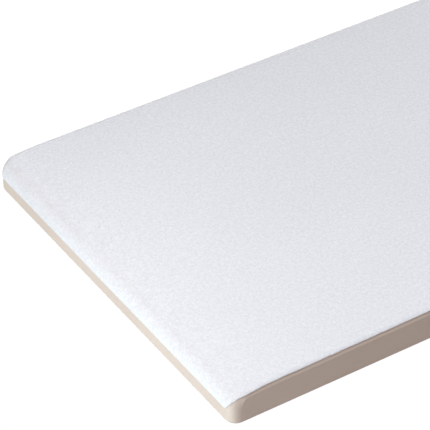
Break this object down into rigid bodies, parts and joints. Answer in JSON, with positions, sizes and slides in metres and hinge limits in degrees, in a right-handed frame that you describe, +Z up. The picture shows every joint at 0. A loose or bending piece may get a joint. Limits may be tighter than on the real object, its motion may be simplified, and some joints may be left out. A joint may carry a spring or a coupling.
{
  "type": "diving board",
  "caption": "Flat pool diving board with a sanded white tread rolled over the tip, a cream moulded shell, a laminated wood core and sleeved bolt holes at the tail.",
  "frame": {"origin": "midway between the two tail bolt holes, on the flat underside that sits on the stand", "axes": "+X along the board from the tail to the tip, +Y to the left seen from the tail, +Z up through the board's thickness"},
  "size_m": [2.438, 0.4572, 0.051],
  "materials": {
    "tread": "white acrylic coat with fine sand cast into it, matte",
    "shell": "cream moulded acrylic, satin gloss with a faint ripple",
    "underside": "cream gel coat with the glass cloth's weave showing through",
    "laminate": "glass-fibre cloth in clear resin",
    "hardwood": "planed hardwood, grain across the board",
    "softwood": "planed straight-grained fir, grain along the board",
    "steel": "drawn stainless tube"
  },
  "bodies": {
    "root": {"tread_surface": "tread", "outer_shell": "shell", "underside_panel": "underside", "top_laminate": "laminate", "bottom_laminate": "laminate", "left_laminate": "laminate", "right_laminate": "laminate", "tail_block": "hardwood", "nose_block": "hardwood", "bolt_sleeves": "steel", "core_strip_1": "softwood", "core_strip_2": "softwood", "core_strip_3": "softwood", "core_strip_4": "softwood", "core_strip_5": "softwood", "core_strip_6": "softwood", "core_strip_7": "softwood", "core_strip_8": "softwood", "core_strip_9": "softwood", "core_strip_10": "softwood", "core_strip_11": "softwood", "core_strip_12": "softwood"}
  },
  "joints": []
}
